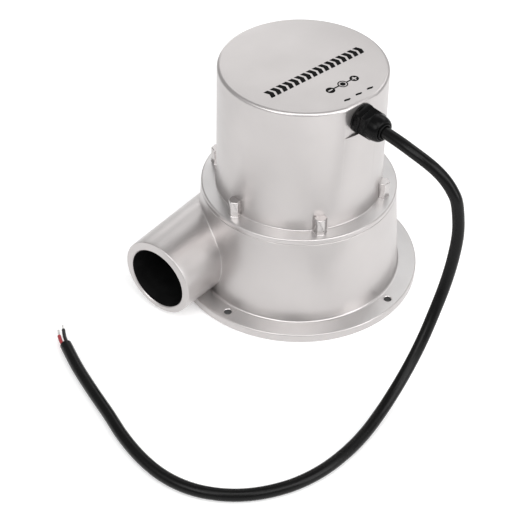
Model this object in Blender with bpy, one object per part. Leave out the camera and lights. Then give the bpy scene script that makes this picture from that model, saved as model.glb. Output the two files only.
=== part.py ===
"""Micro hydro generator: a cast turbine casing with a round generator housing bolted on top.

Water comes in through a pipe that meets the casing at a tangent, turns the runner and leaves
through the hole in the base. A lead with two cores comes out of the gland near the top.
Lengths are in metres and +Z is up. The pieces are placed round the casing's axis, and the
origin is on the floor at the middle of the rigid part's box.
"""

import math

import bmesh
import bpy
from mathutils import Matrix, Vector

MM = 0.001
GAP = 0.3 * MM

# Base flange
FLANGE_RADIUS = 100 * MM
FLANGE_THICKNESS = 7.7 * MM
FLANGE_EDGE_ROUND = 1.2 * MM
MOUNTING_HOLE_RADIUS = 3 * MM
MOUNTING_HOLE_CIRCLE = 92 * MM
MOUNTING_HOLES = 4
MOUNTING_HOLE_TURN = math.radians(1.2)

# Drum of the casing, which leans in a little towards its top
DRUM_FOOT_RADIUS = 84.3 * MM
DRUM_TOP_RADIUS = 78.3 * MM
DRUM_TOP = 82.2 * MM
DRUM_FOOT_FILLET = 2 * MM
CHAMBER_RADIUS = 74.3 * MM
CHAMBER_FLOOR = 7 * MM
CHAMBER_TOP = 63 * MM
MOUTH_RADIUS = 62 * MM
OUTLET_RADIUS = 32 * MM

# Inlet pipe, which points along -X and widens a little towards the drum
INLET_REACH = 120.7 * MM
INLET_OFFSET = 46.7 * MM
INLET_HEIGHT = 36 * MM
INLET_RADIUS = 32.4 * MM
INLET_DRAFT = 0.022
INLET_BORE = 26.1 * MM
INLET_BORE_ASIDE = 0.6 * MM
INLET_BORE_DROP = 1.8 * MM
INLET_PAST_AXIS = 2 * MM
INLET_BORE_SHORT = 3 * MM
INLET_EDGE_ROUND = 1 * MM

# Seam: the drum and the housing meet at their rims, round a gasket in a recess of the drum
DRUM_EDGE_ROUND = 0.8 * MM
HOUSING_LOW_EDGE = 0.3 * MM
HOUSING_EDGE_ROUND = 1.1 * MM
GASKET_THICKNESS = 0.6 * MM
GASKET_BOTTOM = DRUM_TOP - GASKET_THICKNESS
GASKET_OUTSIDE = 75.5 * MM

# Generator housing: the bolting flange and the round can
HOUSING_TURN = math.radians(-9.9)
HOUSING_BOTTOM = DRUM_TOP + GAP
HOUSING_FLANGE_TOP = 87.1 * MM
CAN_FOOT_RADIUS = 66.1 * MM
CAN_TOP_RADIUS = 65.1 * MM
CAN_TOP = 194.2 * MM
CAN_TOP_ROUND = 2.2 * MM
CAN_FOOT_FILLET = 0.5 * MM
SPIGOT_RADIUS = MOUTH_RADIUS - 0.5 * MM
SPIGOT_BOTTOM = 74 * MM
GLAND_FLAT = 63.6 * MM
GLAND_FLAT_BOTTOM = 168.3 * MM

# Clamp bolts with tall hexagonal heads, which stand in close pockets in the can's wall
BOLTS = 6
BOLT_CIRCLE = 68.8 * MM
BOLT_CIRCLE_TURN = math.radians(0.9)
BOLT_HEAD_WIDTH = 9.2 * MM
BOLT_HEAD_HEIGHT = 13.9 * MM
BOLT_HEAD_CHAMFER = 0.5 * MM
BOLT_CHAMFER_ANGLE = math.radians(30)
BOLT_SHANK_RADIUS = 2.5 * MM
BOLT_SHANK_LENGTH = 16 * MM
BOLT_HOLE_RADIUS = BOLT_SHANK_RADIUS + GAP
POCKET_DEPTH = 0.4 * MM
BOLT_SEAT = HOUSING_FLANGE_TOP - POCKET_DEPTH + GAP

# How far each head is turned about its own axis, from the bolt at the housing's +X round the circle
BOLT_HEAD_TURNS = [math.radians(turn) for turn in (12, 40, 15, 3, 23, 10)]

# Shaft, seal and the plate that carries the seal
SHAFT_RADIUS = 10 * MM
SHAFT_TOP = 100 * MM
SHAFT_SHOULDER = 58 * MM
RUNNER_SEAT_RADIUS = 8 * MM
THREAD_RADIUS = 4 * MM
THREAD_END = 15 * MM
SEAL_PLATE_RADIUS = 56 * MM
SEAL_PLATE_THICKNESS = 6 * MM
SEAL_PLATE_TOP = SPIGOT_BOTTOM - GAP
SEAL_RADIUS = 18 * MM
SEAL_DEPTH = 8 * MM
SEAL_LIP_WIDTH = 2 * MM
SEAL_LIP_DEPTH = 1.5 * MM
PLATE_SCREWS = 4
PLATE_SCREW_CIRCLE = 46 * MM
PLATE_SCREW_TURN = math.radians(45)
PLATE_SCREW_RADIUS = 2.5 * MM
PLATE_SCREW_HEAD_RADIUS = 4.5 * MM
PLATE_SCREW_HEAD = 3 * MM
PLATE_SCREW_LENGTH = 16 * MM

# Runner, which hangs on the shaft over the outlet
RUNNER_RADIUS = 46 * MM
RUNNER_TOP = 56 * MM
RUNNER_DISC = 3 * MM
RUNNER_BOTTOM = 12 * MM
RUNNER_RING_INSIDE = 34 * MM
RUNNER_RING_HEIGHT = 2.5 * MM
RUNNER_EYE_RADIUS = 30 * MM
HUB_RADIUS = 14 * MM
HUB_BOTTOM = 26 * MM
BLADES = 12
BLADE_START = 0.3
BLADE_ROOT_DEPTH = 2 * MM
BLADE_RIM_INSET = 0.5 * MM
BLADE_THICKNESS = 2.5 * MM
BLADE_SWEEP = math.radians(38)
WASHER_THICKNESS = 1.5 * MM
WASHER_RADIUS = 12 * MM
NUT_WIDTH = 13 * MM
NUT_HEIGHT = 6.5 * MM

# Cable gland, from the flat outwards
GLAND_HEIGHT = 180.3 * MM
GLAND_WIDTH = 22 * MM
GLAND_THREAD_RADIUS = 9 * MM
GLAND_THREAD_DEPTH = 10 * MM
GLAND_WASHER = 1.5 * MM
GLAND_WASHER_RADIUS = 11.6 * MM
GLAND_HEX = 5.6 * MM
GLAND_TURN = math.radians(16.2)
GLAND_NUT_HEX = 6.3 * MM
GLAND_DOME = 9.1 * MM
GLAND_DOME_FOOT_RADIUS = 10.5 * MM
GLAND_DOME_TOP_RADIUS = 7.5 * MM
GLAND_CORNER_CUT = 2 * MM
GLAND_BORE = 5.1 * MM
GLAND_SEAL_RADIUS = 6.2 * MM
GLAND_SEAL_SHOWS = 1.2 * MM
GLAND_TUBE_SHORT = 4 * MM
GLAND_CONE = 3 * MM

# Lead: a round sheath with a red and a black core, bared at their ends
SHEATH_RADIUS = 4.65 * MM
SHEATH_START = 76 * MM
SHEATH_STRAIGHT = 14 * MM
SHEATH_STEP = 20 * MM
CORE_STEP = 3 * MM
CORE_RADIUS = 1.45 * MM
TIP_RADIUS = 0.95 * MM

ROUND_STEPS = 64
SMALL_STEPS = 24
DOME_STEPS = 6

# How far a cutter reaches past the faces that it cuts
BEYOND = 1 * MM

# The axis of the casing stands off the origin, because the inlet pipe reaches past the flange
AXIS_X = (INLET_REACH - FLANGE_RADIUS) / 2

# The lead's route in millimetres from the casing's axis, after its straight start in the gland
ROUTE_MM = [
    (-17.9, -103.5, 179.6),
    (-18.3, -114.0, 177.2),
    (-17.5, -123.5, 173.8),
    (-15.9, -132.2, 169.0),
    (-14.1, -140.0, 162.4),
    (-12.6, -146.5, 154.0),
    (-11.9, -151.2, 144.0),
    (-12.6, -155.2, 121.0),
    (-17.7, -156.5, 98.0),
    (-25.2, -156.5, 77.0),
    (-35.6, -156.3, 57.7),
    (-48.6, -156.8, 40.9),
    (-64.4, -157.5, 26.9),
    (-83.0, -158.6, 16.3),
    (-104.0, -160.2, 9.2),
    (-127.0, -161.8, 5.5),
    (-150.0, -161.8, 4.75),
    (-174.0, -158.9, 4.75),
    (-195.5, -152.1, 4.75),
    (-213.5, -141.9, 4.75),
    (-228.6, -129.0, 4.75),
    (-240.3, -113.2, 4.75),
    (-248.2, -94.7, 4.75),
    (-251.1, -73.5, 4.75),
    (-248.5, -50.5, 4.75),
    (-241.6, -26.3, 4.75),
    (-231.7, -1.8, 4.75),
    (-221.9, 23.8, 4.75),
    (-211.2, 49.5, 4.75),
    (-199.3, 73.5, 4.75),
]

# The cores from the sheath's end, in millimetres from the casing's axis, each with its bare tip last
RED_CORE_MM = [(-200.75, 74.65, 4.8), (-199.0, 79.0, 4.7), (-195.4, 84.6, 4.5), (-190.5, 90.2, 4.2)]
BLACK_CORE_MM = [(-197.55, 73.0, 4.8), (-193.9, 79.8, 4.7), (-188.2, 87.0, 4.5), (-184.7, 91.3, 4.2)]


def clear_scene():
    for old in list(bpy.data.objects):
        bpy.data.objects.remove(old, do_unlink=True)


def material(name, colour, roughness, metallic=0.0):
    finish = bpy.data.materials.new(name)
    finish.use_nodes = True
    shader = finish.node_tree.nodes["Principled BSDF"]
    shader.inputs["Base Color"].default_value = (*colour, 1.0)
    shader.inputs["Roughness"].default_value = roughness
    shader.inputs["Metallic"].default_value = metallic
    finish.diffuse_color = (*colour, 1.0)
    return finish


def finishes():
    return {
        "silver_paint": material("silver_paint", (0.60, 0.58, 0.56), 0.38, 0.3),
        "steel": material("steel", (0.55, 0.55, 0.55), 0.3, 1.0),
        "bronze": material("bronze", (0.48, 0.32, 0.15), 0.4, 1.0),
        "black_nylon": material("black_nylon", (0.012, 0.012, 0.013), 0.45),
        "black_rubber": material("black_rubber", (0.015, 0.015, 0.016), 0.55),
        "red_pvc": material("red_pvc", (0.55, 0.02, 0.02), 0.45),
        "black_pvc": material("black_pvc", (0.02, 0.02, 0.02), 0.45),
        "tinned_copper": material("tinned_copper", (0.7, 0.68, 0.62), 0.35, 1.0),
    }


def place(obj, parent, finish, smooth_angle=35.0):
    """Give the object its parent and finish, and shade its round faces smooth."""
    obj.parent = parent
    obj.data.materials.clear()
    obj.data.materials.append(finish)
    if obj.type == "MESH":
        obj.data.shade_smooth()
        obj.data.set_sharp_from_angle(angle=math.radians(smooth_angle))
    return obj


def mesh_object(name, shape):
    """Turn a bmesh into an object in the scene, with its faces pointing out."""
    bmesh.ops.recalc_face_normals(shape, faces=shape.faces)
    mesh = bpy.data.meshes.new(name)
    shape.to_mesh(mesh)
    shape.free()
    obj = bpy.data.objects.new(name, mesh)
    bpy.context.collection.objects.link(obj)
    return obj


def turned(name, profile, steps=ROUND_STEPS):
    """A solid of revolution about Z from a closed outline of (radius, height) points."""
    shape = bmesh.new()
    verts = [shape.verts.new((radius, 0.0, height)) for radius, height in profile]
    edges = [shape.edges.new((verts[i], verts[(i + 1) % len(verts)])) for i in range(len(verts))]
    bmesh.ops.spin(
        shape,
        geom=verts + edges,
        cent=(0, 0, 0),
        axis=(0, 0, 1),
        angle=2 * math.pi,
        steps=steps,
        use_merge=True,
    )
    bmesh.ops.remove_doubles(shape, verts=shape.verts, dist=0.01 * MM)
    loose = [edge for edge in shape.edges if not edge.link_faces]
    bmesh.ops.delete(shape, geom=loose, context="EDGES")
    return mesh_object(name, shape)


def arc(radius_at, height_at, round_radius, start, end, steps=4):
    """Points on an arc in the (radius, height) plane, with angles in degrees."""
    points = []
    for i in range(steps + 1):
        angle = math.radians(start + (end - start) * i / steps)
        radius = radius_at + round_radius * math.cos(angle)
        height = height_at + round_radius * math.sin(angle)
        points.append((radius, height))
    return points


def prisms(name, outlines, bottom, top):
    """Straight solids over flat outlines of (x, y) points, which don't touch each other."""
    shape = bmesh.new()
    faces = []
    for outline in outlines:
        faces.append(shape.faces.new([shape.verts.new((x, y, bottom)) for x, y in outline]))
    raised = bmesh.ops.extrude_face_region(shape, geom=faces)
    verts = [item for item in raised["geom"] if isinstance(item, bmesh.types.BMVert)]
    bmesh.ops.translate(shape, verts=verts, vec=(0, 0, top - bottom))
    return mesh_object(name, shape)


def prism(name, outline, bottom, top):
    """One straight solid over a flat outline."""
    return prisms(name, [outline], bottom, top)


def hexagon(width, turn=0.0):
    """The corners of a hexagon of this width across its flats."""
    radius = width / math.sqrt(3)
    corners = []
    for i in range(6):
        angle = turn + math.radians(60 * i)
        corners.append((radius * math.cos(angle), radius * math.sin(angle)))
    return corners


def circle(radius, steps=SMALL_STEPS, x=0.0, y=0.0):
    """Points round a circle, turned half a step so that no corner lies on a neighbour's edge."""
    points = []
    for i in range(steps):
        angle = 2 * math.pi * (i + 0.5) / steps
        points.append((x + radius * math.cos(angle), y + radius * math.sin(angle)))
    return points


def rod(name, radius, bottom, top, steps=SMALL_STEPS):
    """A round bar along Z."""
    return prism(name, circle(radius, steps), bottom, top)


def rods(name, places, radius, bottom, top, steps=12):
    """Round bars along Z, one at each place."""
    outlines = [circle(radius, steps, x, y) for x, y, angle in places]
    return prisms(name, outlines, bottom, top)


def block(name, low, high):
    """A box between two corners."""
    outline = [(low[0], low[1]), (high[0], low[1]), (high[0], high[1]), (low[0], high[1])]
    return prism(name, outline, low[2], high[2])


def tool(obj, parent=None):
    """Mark an object as a cutter or an added shape, which the part itself leaves out."""
    obj.hide_render = True
    obj.display_type = "WIRE"
    obj.parent = parent
    return obj


def combine(obj, other, operation):
    step = obj.modifiers.new(other.name, "BOOLEAN")
    step.operation = operation
    step.solver = "EXACT"
    step.object = other


def moved(obj, location, rotation=(0.0, 0.0, 0.0)):
    obj.location = location
    obj.rotation_euler = rotation
    return obj


def round_the_axis(count, radius, start=0.0):
    """The (x, y, angle) of places spaced evenly on a circle."""
    places = []
    for i in range(count):
        angle = start + 2 * math.pi * i / count
        places.append((radius * math.cos(angle), radius * math.sin(angle), angle))
    return places


def bolt_places():
    """The (x, y, angle) of the clamp bolts round the housing's axis."""
    return round_the_axis(BOLTS, BOLT_CIRCLE, BOLT_CIRCLE_TURN)


def pocket_outlines():
    """The hexagons round the bolts' heads, one gap wider on every side."""
    outlines = []
    for (x, y, angle), turn in zip(bolt_places(), BOLT_HEAD_TURNS):
        corners = hexagon(BOLT_HEAD_WIDTH + 2 * GAP, angle + turn)
        outlines.append([(x + across, y + along) for across, along in corners])
    return outlines


def volute_casing(axis, housing_axis, finish):
    """One casting: base flange, drum, inlet pipe, water chamber and outlet."""
    edge = FLANGE_RADIUS - FLANGE_EDGE_ROUND
    low_edge = arc(edge, FLANGE_EDGE_ROUND, FLANGE_EDGE_ROUND, -90, 0, 1)
    high_edge = arc(edge, FLANGE_THICKNESS - FLANGE_EDGE_ROUND, FLANGE_EDGE_ROUND, 0, 90, 2)
    foot_radius = DRUM_FOOT_RADIUS + DRUM_FOOT_FILLET
    foot = arc(foot_radius, FLANGE_THICKNESS + DRUM_FOOT_FILLET, DRUM_FOOT_FILLET, -90, -180, 2)
    edge = DRUM_EDGE_ROUND
    top_edge = arc(DRUM_TOP_RADIUS - edge, DRUM_TOP - edge, edge, 0, 90, 2)
    recess = GASKET_OUTSIDE + GAP
    floor = GASKET_BOTTOM - GAP
    outline = [(0, 0)] + low_edge + high_edge + foot + top_edge
    outline += [(recess, DRUM_TOP), (recess, floor), (0, floor)]
    casing = turned("volute_casing", outline)
    feet = round_the_axis(MOUNTING_HOLES, MOUNTING_HOLE_CIRCLE, MOUNTING_HOLE_TURN)
    over = FLANGE_THICKNESS + BEYOND
    holes = rods("mounting_hole_cut", feet, MOUNTING_HOLE_RADIUS, -BEYOND, over, 16)
    combine(casing, tool(holes, axis), "DIFFERENCE")
    places = bolt_places()
    hole_end = BOLT_SEAT - BOLT_SHANK_LENGTH - BEYOND
    holes = rods("tapped_hole_cut", places, BOLT_HOLE_RADIUS, hole_end, DRUM_TOP + BEYOND)
    combine(casing, tool(holes, housing_axis), "DIFFERENCE")
    along_pipe = (0.0, math.radians(90), 0.0)
    mouth = (-INLET_REACH, INLET_OFFSET, INLET_HEIGHT)
    combine(casing, tool(moved(inlet_pipe(), mouth, along_pipe), axis), "UNION")
    space = turned("chamber_cut", [
        (0, -BEYOND), (OUTLET_RADIUS, -BEYOND), (OUTLET_RADIUS, CHAMBER_FLOOR),
        (CHAMBER_RADIUS, CHAMBER_FLOOR), (CHAMBER_RADIUS, CHAMBER_TOP), (MOUTH_RADIUS, CHAMBER_TOP),
        (MOUTH_RADIUS, DRUM_TOP + BEYOND), (0, DRUM_TOP + BEYOND),
    ], 50)
    combine(casing, tool(space, axis), "DIFFERENCE")
    bore = rod("inlet_bore_cut", INLET_BORE, -BEYOND, INLET_REACH - INLET_BORE_SHORT, 40)
    middle = (-INLET_REACH, INLET_OFFSET + INLET_BORE_ASIDE, INLET_HEIGHT - INLET_BORE_DROP)
    combine(casing, tool(moved(bore, middle, along_pipe), axis), "DIFFERENCE")
    return place(casing, axis, finish)


def inlet_pipe():
    """The outside of the inlet pipe, from its mouth at zero to just past the casing's axis."""
    length = INLET_REACH + INLET_PAST_AXIS
    root_radius = INLET_RADIUS + INLET_DRAFT * length
    rim = arc(INLET_RADIUS - INLET_EDGE_ROUND, INLET_EDGE_ROUND, INLET_EDGE_ROUND, -90, 0, 2)
    outline = [(0, 0)] + rim + [(root_radius, length), (0, length)]
    return turned("inlet_pipe_shape", outline, 48)


def housing_gasket(axis, finish):
    """The flat ring that seals the seam, with a hole for each clamp bolt."""
    inside = MOUTH_RADIUS
    top = GASKET_BOTTOM + GASKET_THICKNESS
    outside = GASKET_OUTSIDE
    outline = [(inside, GASKET_BOTTOM), (outside, GASKET_BOTTOM), (outside, top), (inside, top)]
    ring = turned("housing_gasket", outline)
    places = bolt_places()
    holes = rods("gasket_hole_cut", places, BOLT_HOLE_RADIUS, GASKET_BOTTOM - GAP, top + GAP)
    combine(ring, tool(holes, axis), "DIFFERENCE")
    return place(ring, axis, finish)


def generator_housing(axis, finish):
    """Bolting flange, can and spigot in one casting, closed at the top, with the flat for the gland."""
    edge = HOUSING_LOW_EDGE
    low_edge = arc(DRUM_TOP_RADIUS - edge, HOUSING_BOTTOM + edge, edge, -90, 0, 1)
    edge = HOUSING_EDGE_ROUND
    high_edge = arc(DRUM_TOP_RADIUS - edge, HOUSING_FLANGE_TOP - edge, edge, 0, 90, 2)
    foot_radius = CAN_FOOT_RADIUS + CAN_FOOT_FILLET
    foot = arc(foot_radius, HOUSING_FLANGE_TOP + CAN_FOOT_FILLET, CAN_FOOT_FILLET, -90, -180, 2)
    top_edge = arc(CAN_TOP_RADIUS - CAN_TOP_ROUND, CAN_TOP - CAN_TOP_ROUND, CAN_TOP_ROUND, 0, 90, 3)
    outline = [(0, SPIGOT_BOTTOM), (SPIGOT_RADIUS, SPIGOT_BOTTOM), (SPIGOT_RADIUS, HOUSING_BOTTOM)]
    outline += low_edge + high_edge + foot + top_edge + [(0, CAN_TOP)]
    housing = turned("generator_housing", outline)
    reach = CAN_FOOT_RADIUS
    low = (-reach, -reach - BEYOND, GLAND_FLAT_BOTTOM)
    high = (reach, -GLAND_FLAT, CAN_TOP + BEYOND)
    combine(housing, tool(block("gland_flat_cut", low, high), axis), "DIFFERENCE")
    depth = GLAND_THREAD_DEPTH + 2 * BEYOND
    thread = rod("gland_thread_cut", GLAND_THREAD_RADIUS + GAP, 0.0, depth)
    thread_start = (0.0, -GLAND_FLAT - BEYOND, GLAND_HEIGHT)
    inward = (math.radians(-90), 0.0, 0.0)
    combine(housing, tool(moved(thread, thread_start, inward), axis), "DIFFERENCE")
    places = bolt_places()
    floor = HOUSING_FLANGE_TOP - POCKET_DEPTH
    ceiling = BOLT_SEAT + BOLT_HEAD_HEIGHT + GAP
    pockets = prisms("bolt_pocket_cut", pocket_outlines(), floor, ceiling)
    combine(housing, tool(pockets, axis), "DIFFERENCE")
    over = HOUSING_FLANGE_TOP + BEYOND
    holes = rods("clamp_hole_cut", places, BOLT_HOLE_RADIUS, HOUSING_BOTTOM - GAP, over)
    combine(housing, tool(holes, axis), "DIFFERENCE")
    top = SPIGOT_BOTTOM + PLATE_SCREW_LENGTH - SEAL_PLATE_THICKNESS
    places = round_the_axis(PLATE_SCREWS, PLATE_SCREW_CIRCLE, PLATE_SCREW_TURN)
    holes = rods("plate_screw_cut", places, PLATE_SCREW_RADIUS + GAP, SPIGOT_BOTTOM - GAP, top)
    combine(housing, tool(holes, axis), "DIFFERENCE")
    shaft_hole = rod("shaft_hole_cut", SHAFT_RADIUS + GAP, SPIGOT_BOTTOM - GAP, SHAFT_TOP + GAP)
    combine(housing, tool(shaft_hole, axis), "DIFFERENCE")
    return place(housing, axis, finish)


def clamp_bolts(axis, finish):
    """Six bolts through the housing's flange into the casing, with tall hexagonal heads."""
    seat = BOLT_SEAT
    top = seat + BOLT_HEAD_HEIGHT
    corner = BOLT_HEAD_WIDTH / math.sqrt(3)
    chamfered = corner - BOLT_HEAD_CHAMFER / math.tan(BOLT_CHAMFER_ANGLE)
    outline = [
        (0, seat - GAP), (corner + GAP, seat - GAP), (corner + GAP, top - BOLT_HEAD_CHAMFER),
        (chamfered, top), (0, top),
    ]
    for number, (x, y, angle) in enumerate(bolt_places(), start=1):
        head = hexagon(BOLT_HEAD_WIDTH, BOLT_HEAD_TURNS[number - 1])
        bolt = prism(f"clamp_bolt_{number}", head, seat, top)
        cone = turned("head_chamfer_shape", outline, 18)
        combine(bolt, tool(moved(cone, (x, y, 0.0)), axis), "INTERSECT")
        shank = rod("shank_shape", BOLT_SHANK_RADIUS, seat - BOLT_SHANK_LENGTH, seat + BEYOND, 10)
        combine(bolt, tool(moved(shank, (x, y, 0.0)), axis), "UNION")
        bolt.rotation_euler = (0.0, 0.0, angle)
        bolt.location = (x, y, 0.0)
        place(bolt, axis, finish, 30.0)


def shaft_and_seal(axis, finishes_by_name):
    """The shaft with its shoulder and thread, the lip seal, its plate and the plate's screws."""
    shaft = turned("runner_shaft", [
        (0, THREAD_END), (THREAD_RADIUS, THREAD_END), (THREAD_RADIUS, HUB_BOTTOM),
        (RUNNER_SEAT_RADIUS, HUB_BOTTOM), (RUNNER_SEAT_RADIUS, SHAFT_SHOULDER),
        (SHAFT_RADIUS, SHAFT_SHOULDER), (SHAFT_RADIUS, SHAFT_TOP), (0, SHAFT_TOP),
    ], SMALL_STEPS)
    place(shaft, axis, finishes_by_name["steel"])
    seal_inside = SHAFT_RADIUS + GAP
    seal_outside = SEAL_RADIUS - GAP
    seal_bottom = SEAL_PLATE_TOP - SEAL_DEPTH
    seal = turned("shaft_seal", [
        (seal_inside, seal_bottom), (seal_inside + SEAL_LIP_WIDTH, seal_bottom - SEAL_LIP_DEPTH),
        (seal_outside, seal_bottom - SEAL_LIP_DEPTH), (seal_outside, SEAL_PLATE_TOP),
        (seal_inside, SEAL_PLATE_TOP),
    ], 32)
    place(seal, axis, finishes_by_name["black_rubber"])
    plate_bottom = SEAL_PLATE_TOP - SEAL_PLATE_THICKNESS
    plate = turned("seal_plate", [
        (SEAL_RADIUS, plate_bottom), (SEAL_PLATE_RADIUS, plate_bottom),
        (SEAL_PLATE_RADIUS, SEAL_PLATE_TOP), (SEAL_RADIUS, SEAL_PLATE_TOP),
    ], 44)
    places = round_the_axis(PLATE_SCREWS, PLATE_SCREW_CIRCLE, PLATE_SCREW_TURN)
    seat = plate_bottom - GAP
    holes = rods("plate_hole_cut", places, PLATE_SCREW_RADIUS + GAP, seat, SEAL_PLATE_TOP + GAP)
    combine(plate, tool(holes, axis), "DIFFERENCE")
    screw_top = seat + PLATE_SCREW_LENGTH - GAP
    outline = [
        (0, seat - PLATE_SCREW_HEAD), (PLATE_SCREW_HEAD_RADIUS, seat - PLATE_SCREW_HEAD),
        (PLATE_SCREW_HEAD_RADIUS, seat), (PLATE_SCREW_RADIUS, seat),
        (PLATE_SCREW_RADIUS, screw_top), (0, screw_top),
    ]
    for number, (x, y, angle) in enumerate(places, start=1):
        screw = turned(f"seal_plate_screw_{number}", outline, 12)
        place(moved(screw, (x, y, 0.0)), axis, finishes_by_name["steel"])
    place(plate, axis, finishes_by_name["steel"])


def blade_outline(start):
    """One swept blade seen from above, from inside the hub to the runner's rim."""
    steps = 4
    inner = HUB_RADIUS - BLADE_ROOT_DEPTH
    outer = RUNNER_RADIUS - BLADE_RIM_INSET
    sides = ([], [])
    for i in range(steps + 1):
        part = i / steps
        radius = inner + (outer - inner) * part
        angle = start + BLADE_SWEEP * part * part
        for side, points in zip((-0.5, 0.5), sides):
            turn = angle + side * BLADE_THICKNESS / radius
            points.append((radius * math.cos(turn), radius * math.sin(turn)))
    return sides[0] + sides[1][::-1]


def turbine_runner(axis, finishes_by_name):
    """Hub, top disc, swept blades and bottom ring as one wheel, with its washer and nut."""
    runner = turned("turbine_runner", [
        (RUNNER_SEAT_RADIUS + GAP, HUB_BOTTOM), (HUB_RADIUS, HUB_BOTTOM),
        (HUB_RADIUS, RUNNER_TOP - RUNNER_DISC), (RUNNER_RADIUS, RUNNER_TOP - RUNNER_DISC),
        (RUNNER_RADIUS, RUNNER_TOP), (RUNNER_SEAT_RADIUS + GAP, RUNNER_TOP),
    ], 48)
    turns = [2 * math.pi * (number + BLADE_START) / BLADES for number in range(BLADES)]
    outlines = [blade_outline(turn) for turn in turns]
    blade_bottom = RUNNER_BOTTOM + RUNNER_RING_HEIGHT / 2
    blades = prisms("blade_shape", outlines, blade_bottom, RUNNER_TOP - RUNNER_DISC / 2)
    combine(runner, tool(blades, axis), "UNION")
    ring_top = RUNNER_BOTTOM + RUNNER_RING_HEIGHT
    ring = turned("runner_ring_shape", [
        (RUNNER_RING_INSIDE, RUNNER_BOTTOM), (RUNNER_RADIUS, RUNNER_BOTTOM),
        (RUNNER_RADIUS, ring_top), (RUNNER_RING_INSIDE, ring_top),
    ], 48)
    combine(runner, tool(ring, axis), "UNION")
    eye = turned("runner_eye_cut", [
        (0, RUNNER_BOTTOM - GAP), (RUNNER_EYE_RADIUS, RUNNER_BOTTOM - GAP),
        (HUB_RADIUS - BEYOND, HUB_BOTTOM), (0, HUB_BOTTOM),
    ], 48)
    combine(runner, tool(eye, axis), "DIFFERENCE")
    place(runner, axis, finishes_by_name["bronze"])
    hole = THREAD_RADIUS + GAP
    washer_top = HUB_BOTTOM - GAP
    washer_bottom = washer_top - WASHER_THICKNESS
    washer = turned("runner_washer", [
        (hole, washer_bottom), (WASHER_RADIUS, washer_bottom),
        (WASHER_RADIUS, washer_top), (hole, washer_top),
    ], SMALL_STEPS)
    place(washer, axis, finishes_by_name["steel"])
    nut_top = washer_bottom - GAP
    nut = prism("runner_nut", hexagon(NUT_WIDTH), nut_top - NUT_HEIGHT, nut_top)
    thread = rod("nut_thread_cut", hole, nut_top - NUT_HEIGHT - GAP, nut_top + GAP, 16)
    combine(nut, tool(thread, axis), "DIFFERENCE")
    place(nut, axis, finishes_by_name["steel"])


def cable_gland(axis, finishes_by_name):
    """Washer, body, dome nut and rubber seal, each turned about the gland's own axis."""
    outward = (math.radians(90), 0.0, 0.0)
    seat = (0.0, -GLAND_FLAT, GLAND_HEIGHT)
    thread_hole = GLAND_THREAD_RADIUS + GAP
    washer_top = GAP + GLAND_WASHER
    washer = turned("gland_washer", [
        (thread_hole, GAP), (GLAND_WASHER_RADIUS, GAP),
        (GLAND_WASHER_RADIUS, washer_top), (thread_hole, washer_top),
    ], 32)
    place(moved(washer, seat, outward), axis, finishes_by_name["black_rubber"])
    hex_start = washer_top + GAP
    hex_end = hex_start + GLAND_HEX
    nut_start = hex_end + GAP
    nut_hex_end = nut_start + GLAND_NUT_HEX
    nut_end = nut_hex_end + GLAND_DOME
    corners = hexagon(GLAND_WIDTH, GLAND_TURN)
    body = prism("gland_body", corners, hex_start, hex_end)
    tube_end = nut_hex_end - GLAND_TUBE_SHORT
    neck = turned("gland_neck_shape", [
        (GLAND_BORE, -GLAND_THREAD_DEPTH), (GLAND_THREAD_RADIUS, -GLAND_THREAD_DEPTH),
        (GLAND_THREAD_RADIUS, tube_end), (GLAND_BORE, tube_end),
    ], 32)
    bore = rod("gland_bore_cut", GLAND_BORE + BEYOND, hex_start - GAP, hex_end + GAP)
    combine(body, tool(moved(bore, seat, outward), axis), "DIFFERENCE")
    combine(body, tool(moved(neck, seat, outward), axis), "UNION")
    place(moved(body, seat, outward), axis, finishes_by_name["black_nylon"], 30.0)
    nut = prism("gland_nut", corners, nut_start, nut_end)
    outside = GLAND_WIDTH / math.sqrt(3) + BEYOND
    dome = [
        (0, nut_start - GAP), (outside, nut_start - GAP), (outside, nut_hex_end - GLAND_CORNER_CUT),
    ]
    for i in range(DOME_STEPS + 1):
        angle = math.radians(90 * i / DOME_STEPS)
        narrowing = (GLAND_DOME_FOOT_RADIUS - GLAND_DOME_TOP_RADIUS) * math.cos(angle)
        dome.append((GLAND_DOME_TOP_RADIUS + narrowing, nut_hex_end + GLAND_DOME * math.sin(angle)))
    envelope = turned("gland_dome_shape", dome + [(0, nut_end)], 36)
    combine(nut, tool(moved(envelope, seat, outward), axis), "INTERSECT")
    opening = GLAND_SEAL_RADIUS + GAP
    inside = turned("gland_nut_cut", [
        (0, nut_start - GAP), (thread_hole, nut_start - GAP), (thread_hole, nut_hex_end - GLAND_CONE),
        (opening, nut_hex_end + GLAND_CONE), (opening, nut_end + GAP), (0, nut_end + GAP),
    ], 32)
    combine(nut, tool(moved(inside, seat, outward), axis), "DIFFERENCE")
    place(moved(nut, seat, outward), axis, finishes_by_name["black_nylon"], 30.0)
    seal_start = tube_end + GAP
    seal_end = nut_end + GLAND_SEAL_SHOWS
    seal = turned("gland_seal", [
        (GLAND_BORE, seal_start), (GLAND_SEAL_RADIUS, seal_start),
        (GLAND_SEAL_RADIUS, seal_end), (GLAND_BORE, seal_end),
    ], 32)
    place(moved(seal, seat, outward), axis, finishes_by_name["black_rubber"])


def smooth_through(points, step):
    """Points about one step apart on a smooth curve through the given points."""
    ends = [points[0] + (points[0] - points[1])] + points + [points[-1] + (points[-1] - points[-2])]
    smooth = []
    for before, here, there, after in zip(ends, ends[1:], ends[2:], ends[3:]):
        count = max(1, round((there - here).length / step))
        for i in range(count):
            t = i / count
            smooth.append(0.5 * (
                2 * here + (there - before) * t + (2 * before - 5 * here + 4 * there - after) * t ** 2
                + (3 * here - before - 3 * there + after) * t ** 3
            ))
    return smooth + [points[-1]]


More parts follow.
